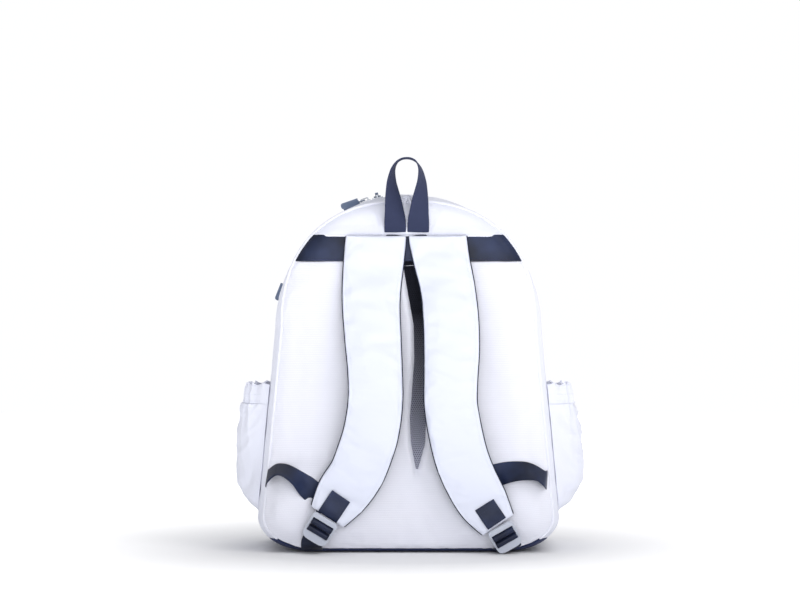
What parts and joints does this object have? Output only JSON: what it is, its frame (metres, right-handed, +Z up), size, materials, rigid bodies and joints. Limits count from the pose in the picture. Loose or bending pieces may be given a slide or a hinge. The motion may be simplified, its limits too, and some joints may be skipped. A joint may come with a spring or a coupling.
{
  "type": "racket backpack",
  "caption": "Arched backpack with padded back and shoulder straps, main compartment, zip-open racket compartment with a grip port, side pockets and grab handle.",
  "frame": {"origin": "on the ground, on the flat face under the middle of the base panel", "axes": "+Z up; the wearer's back and the straps face -Y, the racket compartment faces +Y; +X is to the right of someone looking at the straps"},
  "size_m": [0.3924, 0.213, 0.4414],
  "materials": {
    "shell_fabric": "matte woven polyester",
    "rib_mesh": "fine horizontal rib air mesh",
    "strap_fabric": "matte knitted fabric",
    "lining": "matte",
    "foam": "closed-cell foam",
    "spine_mesh": "open mesh",
    "piping": "matte",
    "base_fabric": "coated weave",
    "board": "matte",
    "webbing": "satin webbing",
    "handle_webbing": "satin webbing",
    "strap_lining": "matte",
    "zip_tape": "matte tape with nylon coil",
    "buckle": "semi-gloss moulded",
    "slider": "satin",
    "pull": "matte"
  },
  "bodies": {
    "bag": {"back_cover": "rib_mesh", "back_foam": "foam", "back_lining": "lining", "yoke_band": "webbing", "yoke_panel": "shell_fabric", "spine_mesh": "spine_mesh", "piping_rear": "piping", "main_gusset": "shell_fabric", "main_zip_rear": "zip_tape", "main_zip_front": "zip_tape", "divider": "lining", "base_panel": "base_fabric", "base_board": "board", "racket_gusset": "shell_fabric", "racket_port_binding": "webbing", "racket_zip_rear_left": "zip_tape", "racket_zip_rear_right": "zip_tape", "front_lower_panel": "shell_fabric", "side_pocket_left": "shell_fabric", "pocket_hem_left": "shell_fabric", "side_pocket_right": "shell_fabric", "pocket_hem_right": "shell_fabric", "strap_webbing_left": "webbing", "strap_webbing_right": "webbing", "side_loop_left": "webbing", "side_loop_right": "webbing"},
    "strap_left": {"strap_cover_left": "strap_fabric", "strap_foam_left": "foam", "strap_lining_left": "strap_lining", "strap_tab_left": "webbing"},
    "buckle_left": {"buckle_left": "buckle", "tab_loop_left": "webbing", "webbing_wrap_left": "webbing"},
    "strap_right": {"strap_cover_right": "strap_fabric", "strap_foam_right": "foam", "strap_lining_right": "strap_lining", "strap_tab_right": "webbing"},
    "buckle_right": {"buckle_right": "buckle", "tab_loop_right": "webbing", "webbing_wrap_right": "webbing"},
    "handle": {"grab_handle": "handle_webbing"},
    "main_zip_a": {"main_zip_a_slider": "slider"},
    "main_zip_a_pull": {"main_zip_a_pull": "pull"},
    "main_zip_b": {"main_zip_b_slider": "slider"},
    "main_zip_b_pull": {"main_zip_b_pull": "pull"},
    "racket_zip_a": {"racket_zip_a_slider": "slider"},
    "racket_zip_a_pull": {"racket_zip_a_pull": "pull"},
    "racket_zip_b": {"racket_zip_b_slider": "slider"},
    "racket_zip_b_pull": {"racket_zip_b_pull": "pull"},
    "racket_panel": {"racket_panel": "shell_fabric", "racket_panel_lining": "lining", "racket_zip_front": "zip_tape", "piping_front": "piping"}
  },
  "joints": [
    {"name": "strap_swing_left", "type": "hinge", "parent": "bag", "child": "strap_left", "pos_m": [0, -0.1034, 0.354], "axis": [-1, 0, 0], "range_deg": [0, 25], "deforming": ["strap_webbing_left"]},
    {"name": "buckle_tilt_left", "type": "hinge", "parent": "strap_left", "child": "buckle_left", "pos_m": [-0.09048, -0.11479, 0.04235], "axis": [-0.8572, 0, 0.515], "range_deg": [0, 45]},
    {"name": "strap_swing_right", "type": "hinge", "parent": "bag", "child": "strap_right", "pos_m": [0, -0.1034, 0.354], "axis": [-1, 0, 0], "range_deg": [0, 25], "deforming": ["strap_webbing_right"]},
    {"name": "buckle_tilt_right", "type": "hinge", "parent": "strap_right", "child": "buckle_right", "pos_m": [0.09965, -0.11474, 0.03296], "axis": [-0.8695, 0, -0.4939], "range_deg": [0, 45]},
    {"name": "handle_fold", "type": "hinge", "parent": "bag", "child": "handle", "pos_m": [-0.002, -0.0936, 0.3586], "axis": [1, 0, 0], "range_deg": [0, 90], "stiffness_Nm_per_rad": 0.03},
    {"name": "main_zip_a_slide", "type": "hinge", "parent": "bag", "child": "main_zip_a", "pos_m": [0, -0.022, 0.252], "axis": [0, -1, 0], "range_deg": [0, 62]},
    {"name": "main_zip_a_flip", "type": "hinge", "parent": "main_zip_a", "child": "main_zip_a_pull", "pos_m": [-0.05001, -0.022, 0.39723], "axis": [0, 1, 0], "range_deg": [0, 150]},
    {"name": "main_zip_b_slide", "type": "hinge", "parent": "bag", "child": "main_zip_b", "pos_m": [0, -0.022, 0.252], "axis": [0, 1, 0], "range_deg": [0, 95]},
    {"name": "main_zip_b_flip", "type": "hinge", "parent": "main_zip_b", "child": "main_zip_b_pull", "pos_m": [-0.0356, -0.022, 0.40142], "axis": [0.9728, 0, 0.2317], "range_deg": [0, 150]},
    {"name": "racket_zip_a_slide", "type": "hinge", "parent": "bag", "child": "racket_zip_a", "pos_m": [0, 0.069, 0.252], "axis": [0, 1, 0], "range_deg": [0, 117]},
    {"name": "racket_zip_a_flip", "type": "hinge", "parent": "racket_zip_a", "child": "racket_zip_a_pull", "pos_m": [-0.08026, 0.069, 0.38297], "axis": [0, -1, 0], "range_deg": [0, 150]},
    {"name": "racket_zip_b_slide", "type": "hinge", "parent": "bag", "child": "racket_zip_b", "pos_m": [0, 0.069, 0.252], "axis": [0, -1, 0], "range_deg": [0, 17]},
    {"name": "racket_zip_b_flip", "type": "hinge", "parent": "racket_zip_b", "child": "racket_zip_b_pull", "pos_m": [-0.14291, 0.069, 0.30829], "axis": [0, 1, 0], "range_deg": [0, 150]},
    {"name": "racket_panel_open", "type": "hinge", "parent": "bag", "child": "racket_panel", "pos_m": [0, 0.0882, 0.0547], "axis": [-1, 0, 0], "range_deg": [0, 90]}
  ]
}
